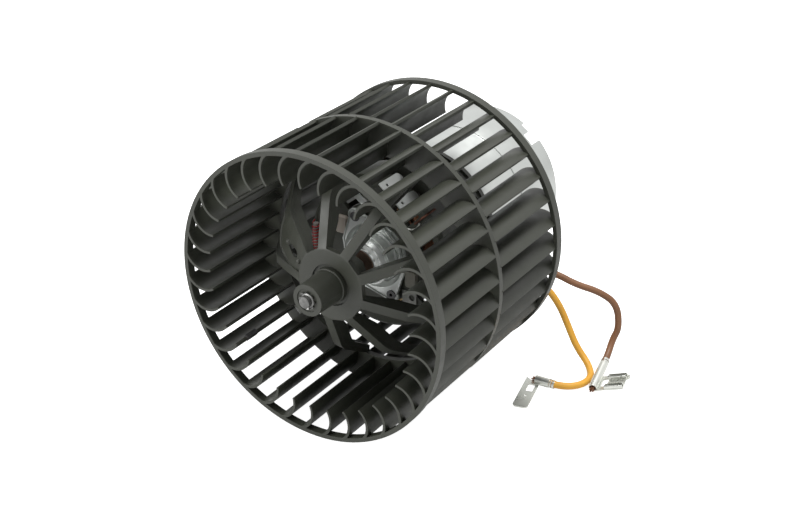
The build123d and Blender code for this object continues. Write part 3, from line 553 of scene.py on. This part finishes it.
# Operators
class BLOWER_OT_stage(bpy.types.Operator):
    """Makes the floor, the lamps, the even light and the camera"""

    bl_idname = "blower.stage"
    bl_label = "Studio"

    def execute(self, context):
        settings = context.scene.blower_stage
        self.camera(context, settings)
        self.floor()
        self.lamp("key", *KEY_LAMP, settings.key_power)
        self.lamp("fill", *FILL_LAMP, settings.fill_power)
        self.sky(context, settings)
        context.scene.view_settings.view_transform = "Standard"
        return {"FINISHED"}

    @staticmethod
    def camera(context, settings):
        up = CAMERA_RIGHT.cross(CAMERA_AHEAD)
        data = bpy.data.cameras.new("camera")
        data.lens = settings.lens
        data.sensor_width = 36
        data.clip_start = 0.01
        data.clip_end = 20
        camera = bpy.data.objects.new("camera", data)
        turn = Matrix((CAMERA_AHEAD.cross(up), up, -CAMERA_AHEAD)).transposed().to_4x4()
        camera.matrix_world = Matrix.Translation(CAMERA_PLACE) @ turn
        context.scene.collection.objects.link(camera)
        context.scene.camera = camera

    @staticmethod
    def floor():
        mesh = bpy.data.meshes.new("floor")
        shape = bmesh.new()
        bmesh.ops.create_circle(shape, cap_ends=True, segments=96, radius=FLOOR_RADIUS)
        shape.to_mesh(mesh)
        shape.free()
        floor = bpy.data.objects.new("floor", mesh)
        floor.location.z = FLOOR_LEVEL
        bpy.context.scene.collection.objects.link(floor)
        material, tree = shader_tree("floor")
        path = add(tree, "ShaderNodeLightPath")
        mirrored = add(tree, "ShaderNodeMath", {"operation": "MULTIPLY"})
        tree.links.new(path.outputs["Is Glossy Ray"], mirrored.inputs[0])
        mirrored.inputs[1].default_value = FLOOR_GLOW_MIRRORED
        strength = add(tree, "ShaderNodeMath", {"operation": "MULTIPLY_ADD"})
        tree.links.new(path.outputs["Is Camera Ray"], strength.inputs[0])
        strength.inputs[1].default_value = FLOOR_GLOW
        tree.links.new(mirrored.outputs[0], strength.inputs[2])
        paper = add(tree, "ShaderNodeBsdfDiffuse", Color=FLOOR_COLOUR)
        glow = add(tree, "ShaderNodeEmission", Color=WHITE, Strength=strength.outputs[0])
        both = add(tree, "ShaderNodeAddShader")
        tree.links.new(paper.outputs[0], both.inputs[0])
        tree.links.new(glow.outputs[0], both.inputs[1])
        add(tree, "ShaderNodeOutputMaterial", Surface=both.outputs[0])
        mesh.materials.append(material)

    @staticmethod
    def lamp(name, stand, size, power):
        data = bpy.data.lights.new(name, "AREA")
        data.shape = "DISK"
        data.size = size
        data.energy = power
        lamp = bpy.data.objects.new(name, data)
        lamp.location = stand
        lamp.rotation_mode = "QUATERNION"
        lamp.rotation_quaternion = (LAMP_TARGET - Vector(stand)).to_track_quat("-Z", "Y")
        bpy.context.scene.collection.objects.link(lamp)

    @staticmethod
    def sky(context, settings):
        world = bpy.data.worlds.new("studio")
        world.use_nodes = True
        tree = world.node_tree
        tree.nodes.clear()
        path = add(tree, "ShaderNodeLightPath")
        seen = add(tree, "ShaderNodeMath", {"operation": "MAXIMUM"})
        tree.links.new(path.outputs["Is Camera Ray"], seen.inputs[0])
        tree.links.new(path.outputs["Is Glossy Ray"], seen.inputs[1])
        strength = add(tree, "ShaderNodeMapRange")
        tree.links.new(seen.outputs[0], strength.inputs["Value"])
        strength.inputs["To Min"].default_value = settings.sky
        strength.inputs["To Max"].default_value = 1.0
        light = add(tree, "ShaderNodeBackground", Color=WHITE, Strength=strength.outputs["Result"])
        add(tree, "ShaderNodeOutputWorld", Surface=light.outputs[0])
        context.scene.world = world


class BLOWER_OT_finishes(bpy.types.Operator):
    """Gives every node of the model its finish and rounds the edges of the can and its cover"""

    bl_idname = "blower.finishes"
    bl_label = "Finishes"

    def execute(self, context):
        colours = context.scene.blower_colours
        for slot, finish in FINISH_OF.items():
            finish(slot, colour_of(slot, colours))
        for name, slot in SLOT_OF.items():
            dress(name, FINISHES[slot])
        dress("front_bearing_cap", drawn("drawn_zinc", colour_of("zinc_plate", colours)))
        dull_tin = shade(colour_of("tinned_brass", colours), 0.3)
        dress("earth_tag", plated("dull_tin", dull_tin, rough=(0.4, 0.55)))
        dress("choke_core", moulded("choke_ferrite", CORE_COLOUR, rough=(0.5, 0.7)))
        for name in ("spade_tab_left", "spade_tab_right", "bus_strip"):
            dress(name, FINISHES["zinc_plate"])
        dress("insulator_block_right", moulded("dull_block", DULL_BLOCK_COLOUR, rough=(0.5, 0.65)))
        plated("tarnished_copper", TARNISHED_COLOUR, rough=(0.35, 0.5), mottle=0.3)
        rounding = context.scene.blower_sizes.edge_rounding
        for name in ("motor_can", "rear_cover"):
            break_edges(frame["nodes"][name], rounding)
        return {"FINISHED"}


# Pieces made here
def spot(radius, angle, station, across=0.0):
    """A point from its radius, angle and station, and its distance across that radius, in mm and degrees."""
    way = Vector((cos(radians(angle)), 0, sin(radians(angle))))
    side = Vector((-way.z, 0, way.x))
    return (way * radius + side * across + Vector((0, station - SEAT, 0))) * MM


def section(corners, angle):
    """The points of a section at that angle, each from its radius and station."""
    return [spot(radius, angle, station) for radius, station in corners]


def circle(count):
    """Angles in even steps round a full turn, in radians."""
    return [radians(360 * index / count) for index in range(count)]


def along(table, value):
    """Reads a table of pairs between its entries."""
    for (low, one), (high, two) in zip(table, table[1:]):
        if value <= high:
            return one + (two - one) * (value - low) / (high - low)
    return table[-1][1]


def skin(shape, rings, closed=False):
    """Faces between rings of points that follow each other, capped at both ends of an open row."""
    rows = [[shape.verts.new(point) for point in ring] for ring in rings]
    pairs = list(zip(rows, rows[1:]))
    if closed:
        pairs.append((rows[-1], rows[0]))
    for one, two in pairs:
        for index, point in enumerate(one):
            after = (index + 1) % len(one)
            shape.faces.new((point, one[after], two[after], two[index]))
    if not closed:
        shape.faces.new(reversed(rows[0]))
        shape.faces.new(rows[-1])


def new_piece(name, shape, body, slot):
    """Turns a finished bmesh into a piece of the model."""
    bmesh.ops.recalc_face_normals(shape, faces=shape.faces)
    mesh = bpy.data.meshes.new(name)
    shape.to_mesh(mesh)
    shape.free()
    for face in mesh.polygons:
        face.use_smooth = True
    mesh.set_sharp_from_angle(angle=SHARP_ANGLE)
    mesh.materials.append(FINISHES[slot])
    piece = bpy.data.objects.new(name, mesh)
    bpy.context.scene.collection.objects.link(piece)
    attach(piece, body)
    return piece


def new_wire(name, lines, radius, body, slot, finish=None, roundness=4, steps=6):
    """Round wires along smooth lines of points in metres, in the slot's finish unless another is named."""
    data = bpy.data.curves.new(name, "CURVE")
    data.dimensions = "3D"
    data.bevel_depth = radius
    data.bevel_resolution = roundness
    data.use_fill_caps = True
    data.resolution_u = steps
    for line in lines:
        spline = data.splines.new("NURBS")
        spline.points.add(len(line) - 1)
        for point, position in zip(spline.points, line):
            point.co = (*position, 1)
        spline.order_u = 3
        spline.use_endpoint_u = True
    data.materials.append(FINISHES[finish or slot])
    piece = bpy.data.objects.new(name, data)
    bpy.context.scene.collection.objects.link(piece)
    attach(piece, body)
    return piece


class BLOWER_OT_ribs(bpy.types.Operator):
    """Stands two ribs behind each spoke of the spider"""

    bl_idname = "blower.ribs"
    bl_label = "Spoke ribs"

    def execute(self, context):
        depth = context.scene.blower_sizes.rib_depth / MM
        shape = bmesh.new()
        for angle in SPOKE_ANGLES:
            for outer, inner in RIB_SIDES:
                rings = []
                for radius, station in DISH:
                    share = min(1.0, RIB_HUB_SHARE + (radius - DISH[0][0]) / RIB_GROWTH)
                    front = station + RIB_START
                    rear = min(station + RIB_LEAST + depth * share, RIB_LAST_STATION)
                    corners = ((front, outer), (front, inner), (rear, inner), (rear, outer))
                    rings.append([spot(radius, angle, *corner) for corner in corners])
                skin(shape, rings)
        new_piece("spoke_ribs", shape, "rotor", "black_plastic")
        return {"FINISHED"}


class BLOWER_OT_web_panel(bpy.types.Operator):
    """Closes the spider's one filled gap with its slotted panel, rounded rim and two studs"""

    bl_idname = "blower.web_panel"
    bl_label = "Web panel"

    def execute(self, context):
        shape = bmesh.new()
        columns, rows = 32, 24
        grid = {}
        for column in range(columns + 1):
            for row in range(rows + 1):
                radius, angle = self.cell(column / columns, row / rows)
                station = along(DISH, radius) + PANEL_DEPTH
                grid[column, row] = shape.verts.new(spot(radius, angle, station))
        for column in range(columns):
            for row in range(rows):
                radius, angle = self.cell((column + 0.5) / columns, (row + 0.5) / rows)
                lengthwise = (radius - SLOT_RADIUS) / SLOT_LENGTH
                crosswise = radius * radians(angle - SLOT_ANGLE) / SLOT_WIDTH
                if lengthwise ** 2 + crosswise ** 2 > 1:
                    corners = ((column, row), (column + 1, row), (column + 1, row + 1), (column, row + 1))
                    shape.faces.new([grid[corner] for corner in corners])
        loose = [point for point in shape.verts if not point.link_faces]
        bmesh.ops.delete(shape, geom=loose, context="VERTS")
        sheet = bmesh.ops.extrude_face_region(shape, geom=shape.faces[:])["geom"]
        back = [point for point in sheet if isinstance(point, bmesh.types.BMVert)]
        bmesh.ops.translate(shape, verts=back, vec=(0, PANEL_THICKNESS, 0))
        self.rim(shape)
        for stud in PANEL_STUDS:
            self.stud(shape, *stud)
        new_piece("web_panel", shape, "rotor", "black_plastic")
        return {"FINISHED"}

    @staticmethod
    def cell(across, outward):
        """Radius and angle on the panel, from the shares of the way across it and outward on it."""
        angle = PANEL_START + PANEL_SPAN * across
        radius = PANEL_INNER + (along(PANEL_RIM, angle) - PANEL_INNER) * outward
        return radius, angle

    @staticmethod
    def rim(shape):
        rings = []
        for step in range(PANEL_SPAN + 1):
            angle = PANEL_START + step
            radius = along(PANEL_RIM, angle)
            middle = along(DISH, radius) + RIM_DEPTH
            rings.append([
                spot(radius + RIM_WIDTH * cos(turn), angle, middle + RIM_HEIGHT * sin(turn))
                for turn in circle(8)
            ])
        skin(shape, rings)

    @staticmethod
    def stud(shape, radius, angle, size):
        rings = []
        for share, rise in STUD_OUTLINE:
            front = along(DISH, radius) + RIM_DEPTH - size * rise
            wide = size * share
            rings.append([
                spot(radius + wide * cos(turn), angle, front, wide * sin(turn)) for turn in circle(16)
            ])
        skin(shape, rings)


class BLOWER_OT_star_clip(bpy.types.Operator):
    """Puts the star clip with its bent petals round the shaft's end"""

    bl_idname = "blower.star_clip"
    bl_label = "Star clip"

    def execute(self, context):
        shape = bmesh.new()
        skin(shape, [section(CLIP_SECTION, 7.5 * index) for index in range(48)], closed=True)
        for petal in range(PETALS):
            rings = []
            for step in range(-3, 4):
                tip = PETAL_TIP - PETAL_ROUNDING * abs(step)
                corners = (
                    (PETAL_ROOT, ROOT_FRONT), (tip, TIP_FRONT), (tip, TIP_REAR), (PETAL_ROOT, ROOT_REAR),
                )
                rings.append(section(corners, 360 / PETALS * petal + 5 * step))
            skin(shape, rings)
        piece = new_piece("star_clip", shape, "rotor", "bright_steel")
        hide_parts("hub_clip")
        return {"FINISHED"}


class BLOWER_OT_choke(bpy.types.Operator):
    """Winds the choke's lacquered wire round its core"""

    bl_idname = "blower.choke"
    bl_label = "Choke winding"

    def execute(self, context):
        sizes = context.scene.blower_sizes
        low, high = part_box("choke_core")
        centre = (low + high) / 2
        radius = (high.x - low.x) / 2 + sizes.choke_wire / 2 + CHOKE_GAP
        bottom, top = low.z + CHOKE_BARE_BELOW, high.z - CHOKE_BARE_ABOVE
        steps = 12 * sizes.choke_turns
        line = [Vector((centre.x, centre.y, bottom)) + CHOKE_TAIL_BELOW]
        for step in range(steps + 1):
            angle = radians(30 * step + CHOKE_START)
            height = bottom + (top - bottom) * step / steps
            line.append(Vector((centre.x + radius * cos(angle), centre.y + radius * sin(angle), height)))
        line.append(Vector((centre.x, centre.y, top)) + CHOKE_TAIL_ABOVE)
        piece = new_wire("choke_winding", [line], sizes.choke_wire / 2, "stator", "red_lacquer")
        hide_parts("choke_coil")
        return {"FINISHED"}


class BLOWER_OT_clamp_lip(bpy.types.Operator):
    """Raises the folded lip round the bearing clamp's outline"""

    bl_idname = "blower.clamp_lip"
    bl_label = "Clamp lip"

    def execute(self, context):
        outline = []
        wide, high = CLAMP_CORNER
        for side in (1, -1):
            for step in range(-4, 5):
                angle = radians(22.5 * step)
                outline.append((side * (EAR_PLACE + EAR_RADIUS * cos(angle)), side * EAR_RADIUS * sin(angle)))
            outline += [(side * wide, side * high), (0, side * CLAMP_WAIST), (side * -wide, side * high)]
        shape = bmesh.new()
        rings = []
        for x, z in outline:
            reach = hypot(x, z)
            corners = [(reach + outward, station) for outward, station in LIP_SECTION]
            rings.append(section(corners, degrees(atan2(z, x)) - CLAMP_ANGLE))
        skin(shape, rings, closed=True)
        new_piece("clamp_lip", shape, "stator", "zinc_plate")
        return {"FINISHED"}


class BLOWER_OT_face_wires(bpy.types.Operator):
    """Lays the bare hook and the copper braid on the housing's face"""

    bl_idname = "blower.face_wires"
    bl_label = "Wires on the face"

    def execute(self, context):
        line = [Vector((x, HOOK_STATION - SEAT, z)) * MM for x, z in HOOK]
        new_wire("bare_hook", [line], HOOK_RADIUS, "stator", "tinned_brass")
        lines = []
        for strand in range(3):
            line = []
            for index, (x, station, z) in enumerate(BRAID):
                turn = radians(120 * strand + 95 * index)
                x_out, z_out = BRAID_OFFSET * cos(turn), BRAID_OFFSET * sin(turn)
                line.append(Vector((x + x_out, station - SEAT, z + z_out)) * MM)
            lines.append(line)
        new_wire("copper_braid", lines, BRAID_RADIUS, "stator", "copper", "tarnished_copper")
        return {"FINISHED"}


class BLOWER_OT_brush_springs(bpy.types.Operator):
    """Coils the round-wire springs behind the brushes, at one fixed length"""

    bl_idname = "blower.brush_springs"
    bl_label = "Brush springs"

    def execute(self, context):
        for side, way in (("upper", 1), ("lower", -1)):
            low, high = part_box(f"brush_spring_{side}")
            middle, height = (low + high) / 2, high.z - low.z
            shape = bmesh.new()
            skin(shape, self.coil(middle, height, (high.x - low.x) / 2 - SPRING_WIRE, way))
            spring = new_piece(f"brush_coil_{side}", shape, "stator", "spring_steel")
            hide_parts(f"brush_spring_{side}")
            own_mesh(spring)
        return {"FINISHED"}

    @staticmethod
    def coil(middle, height, radius, way):
        rings = []
        for step in range(SPRING_STEPS * SPRING_TURNS + 1):
            turn = step / SPRING_STEPS
            share = (turn - SPRING_CLOSED) / (SPRING_TURNS - 2 * SPRING_CLOSED)
            rise = SPRING_WIRE + (height - 2 * SPRING_WIRE) * min(max(share, 0.0), 1.0)
            angle = 2 * pi * turn
            ring = []
            for roll in circle(8):
                reach = radius + SPRING_WIRE * cos(roll)
                lift = way * (rise - height / 2 + SPRING_WIRE * sin(roll))
                ring.append(middle + Vector((reach * cos(angle), reach * sin(angle), lift)))
            rings.append(ring)
        return rings


class BLOWER_OT_crimps(bpy.types.Operator):
    """Closes each terminal's claws round its lead and shows the strands at the barrel's end"""

    bl_idname = "blower.crimps"
    bl_label = "Crimps"

    def execute(self, context):
        self.claws("orange_claws", Vector(ORANGE_ROUTE[-1]), ORANGE_WAY, ORANGE_UP)
        self.strands("orange_strands", Vector(ORANGE_ROUTE[-1]), ORANGE_WAY, ORANGE_UP, ORANGE_BARREL)
        self.claws("brown_claws", Vector(BROWN_ROUTE[-1]), BROWN_WAY, BROWN_UP)
        self.strands("brown_strands", Vector(BROWN_ROUTE[-1]), BROWN_WAY, BROWN_UP, BROWN_BARREL)
        return {"FINISHED"}

    @staticmethod
    def claws(name, mouth, way, up):
        side = way.cross(up)
        shape = bmesh.new()
        for start, width in CLAWS:
            corners = ((0, CLAW_INNER), (0, CLAW_OUTER), (width, CLAW_OUTER), (width, CLAW_INNER))
            rings = []
            for step in range(CLAW_STEPS + 1):
                turn = radians(180 - CLAW_SPAN / 2 + CLAW_SPAN * step / CLAW_STEPS)
                ring = []
                for forward, radius in corners:
                    height = max(radius * cos(turn), CLAW_FLOOR)
                    point = way * (start + forward) + side * radius * sin(turn) + up * height
                    ring.append(mouth + point * MM)
                rings.append(ring)
            skin(shape, rings)
        new_piece(name, shape, "stator", "tinned_brass")

    @staticmethod
    def strands(name, mouth, way, up, barrel):
        side = way.cross(up)
        shape = bmesh.new()
        for index, turn in enumerate([*circle(6), 0.0]):
            offset = STRAND_OFFSET if index < 6 else 0.0
            rings = []
            for forward in (STRAND_START, STRAND_BEND, STRAND_STOP + STRAND_STAGGER * (index % 3)):
                outward = offset * (1 + STRAND_FAN * forward)
                middle = (side * sin(turn) + up * cos(turn)) * outward + way * (barrel + forward)
                rings.append([
                    mouth + (middle + (side * sin(roll) + up * cos(roll)) * STRAND_RADIUS) * MM
                    for roll in circle(6)
                ])
            skin(shape, rings)
        new_piece(name, shape, "stator", "copper")


class BLOWER_OT_leads(bpy.types.Operator):
    """Lays the two leads as smooth curves from the grommet to their terminals"""

    bl_idname = "blower.leads"
    bl_label = "Leads"

    def execute(self, context):
        width = context.scene.blower_sizes.lead_diameter
        self.lead("orange", ORANGE_ROUTE, width)
        self.lead("brown", BROWN_ROUTE, width)
        return {"FINISHED"}

    @staticmethod
    def lead(colour, route, width):
        piece = new_wire(
            f"{colour}_insulation", [route], width / 2, "stator", f"{colour}_pvc", roundness=6, steps=24,
        )
        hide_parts(f"{colour}_lead")


class BLOWER_PT_panel(bpy.types.Panel):
    """Lists the blower's operators and settings"""

    bl_idname = "BLOWER_PT_panel"
    bl_label = "Blower"
    bl_space_type = "VIEW_3D"
    bl_region_type = "UI"
    bl_category = "Blower"

    def draw(self, context):
        for operator in OPERATORS:
            self.layout.operator(operator.bl_idname)
        for group in (context.scene.blower_sizes, context.scene.blower_colours, context.scene.blower_stage):
            for name in group.__annotations__:
                self.layout.prop(group, name)


OPERATORS = (
    BLOWER_OT_stage,
    BLOWER_OT_finishes,
    BLOWER_OT_ribs,
    BLOWER_OT_web_panel,
    BLOWER_OT_star_clip,
    BLOWER_OT_choke,
    BLOWER_OT_clamp_lip,
    BLOWER_OT_face_wires,
    BLOWER_OT_brush_springs,
    BLOWER_OT_crimps,
    BLOWER_OT_leads,
)
CLASSES = (BlowerColours, BlowerSizes, BlowerStage, *OPERATORS, BLOWER_PT_panel)


def register():
    for kind in CLASSES:
        bpy.utils.register_class(kind)
    bpy.types.Scene.blower_colours = PointerProperty(type=BlowerColours)
    bpy.types.Scene.blower_sizes = PointerProperty(type=BlowerSizes)
    bpy.types.Scene.blower_stage = PointerProperty(type=BlowerStage)


def unregister():
    del bpy.types.Scene.blower_stage
    del bpy.types.Scene.blower_sizes
    del bpy.types.Scene.blower_colours
    for kind in reversed(CLASSES):
        bpy.utils.unregister_class(kind)


def main():
    register()
    bpy.ops.blower.stage()
    bpy.ops.blower.finishes()
    bpy.ops.blower.ribs()
    bpy.ops.blower.web_panel()
    bpy.ops.blower.star_clip()
    bpy.ops.blower.choke()
    bpy.ops.blower.clamp_lip()
    bpy.ops.blower.face_wires()
    bpy.ops.blower.brush_springs()
    bpy.ops.blower.crimps()
    bpy.ops.blower.leads()


if __name__ == "__main__":
    main()
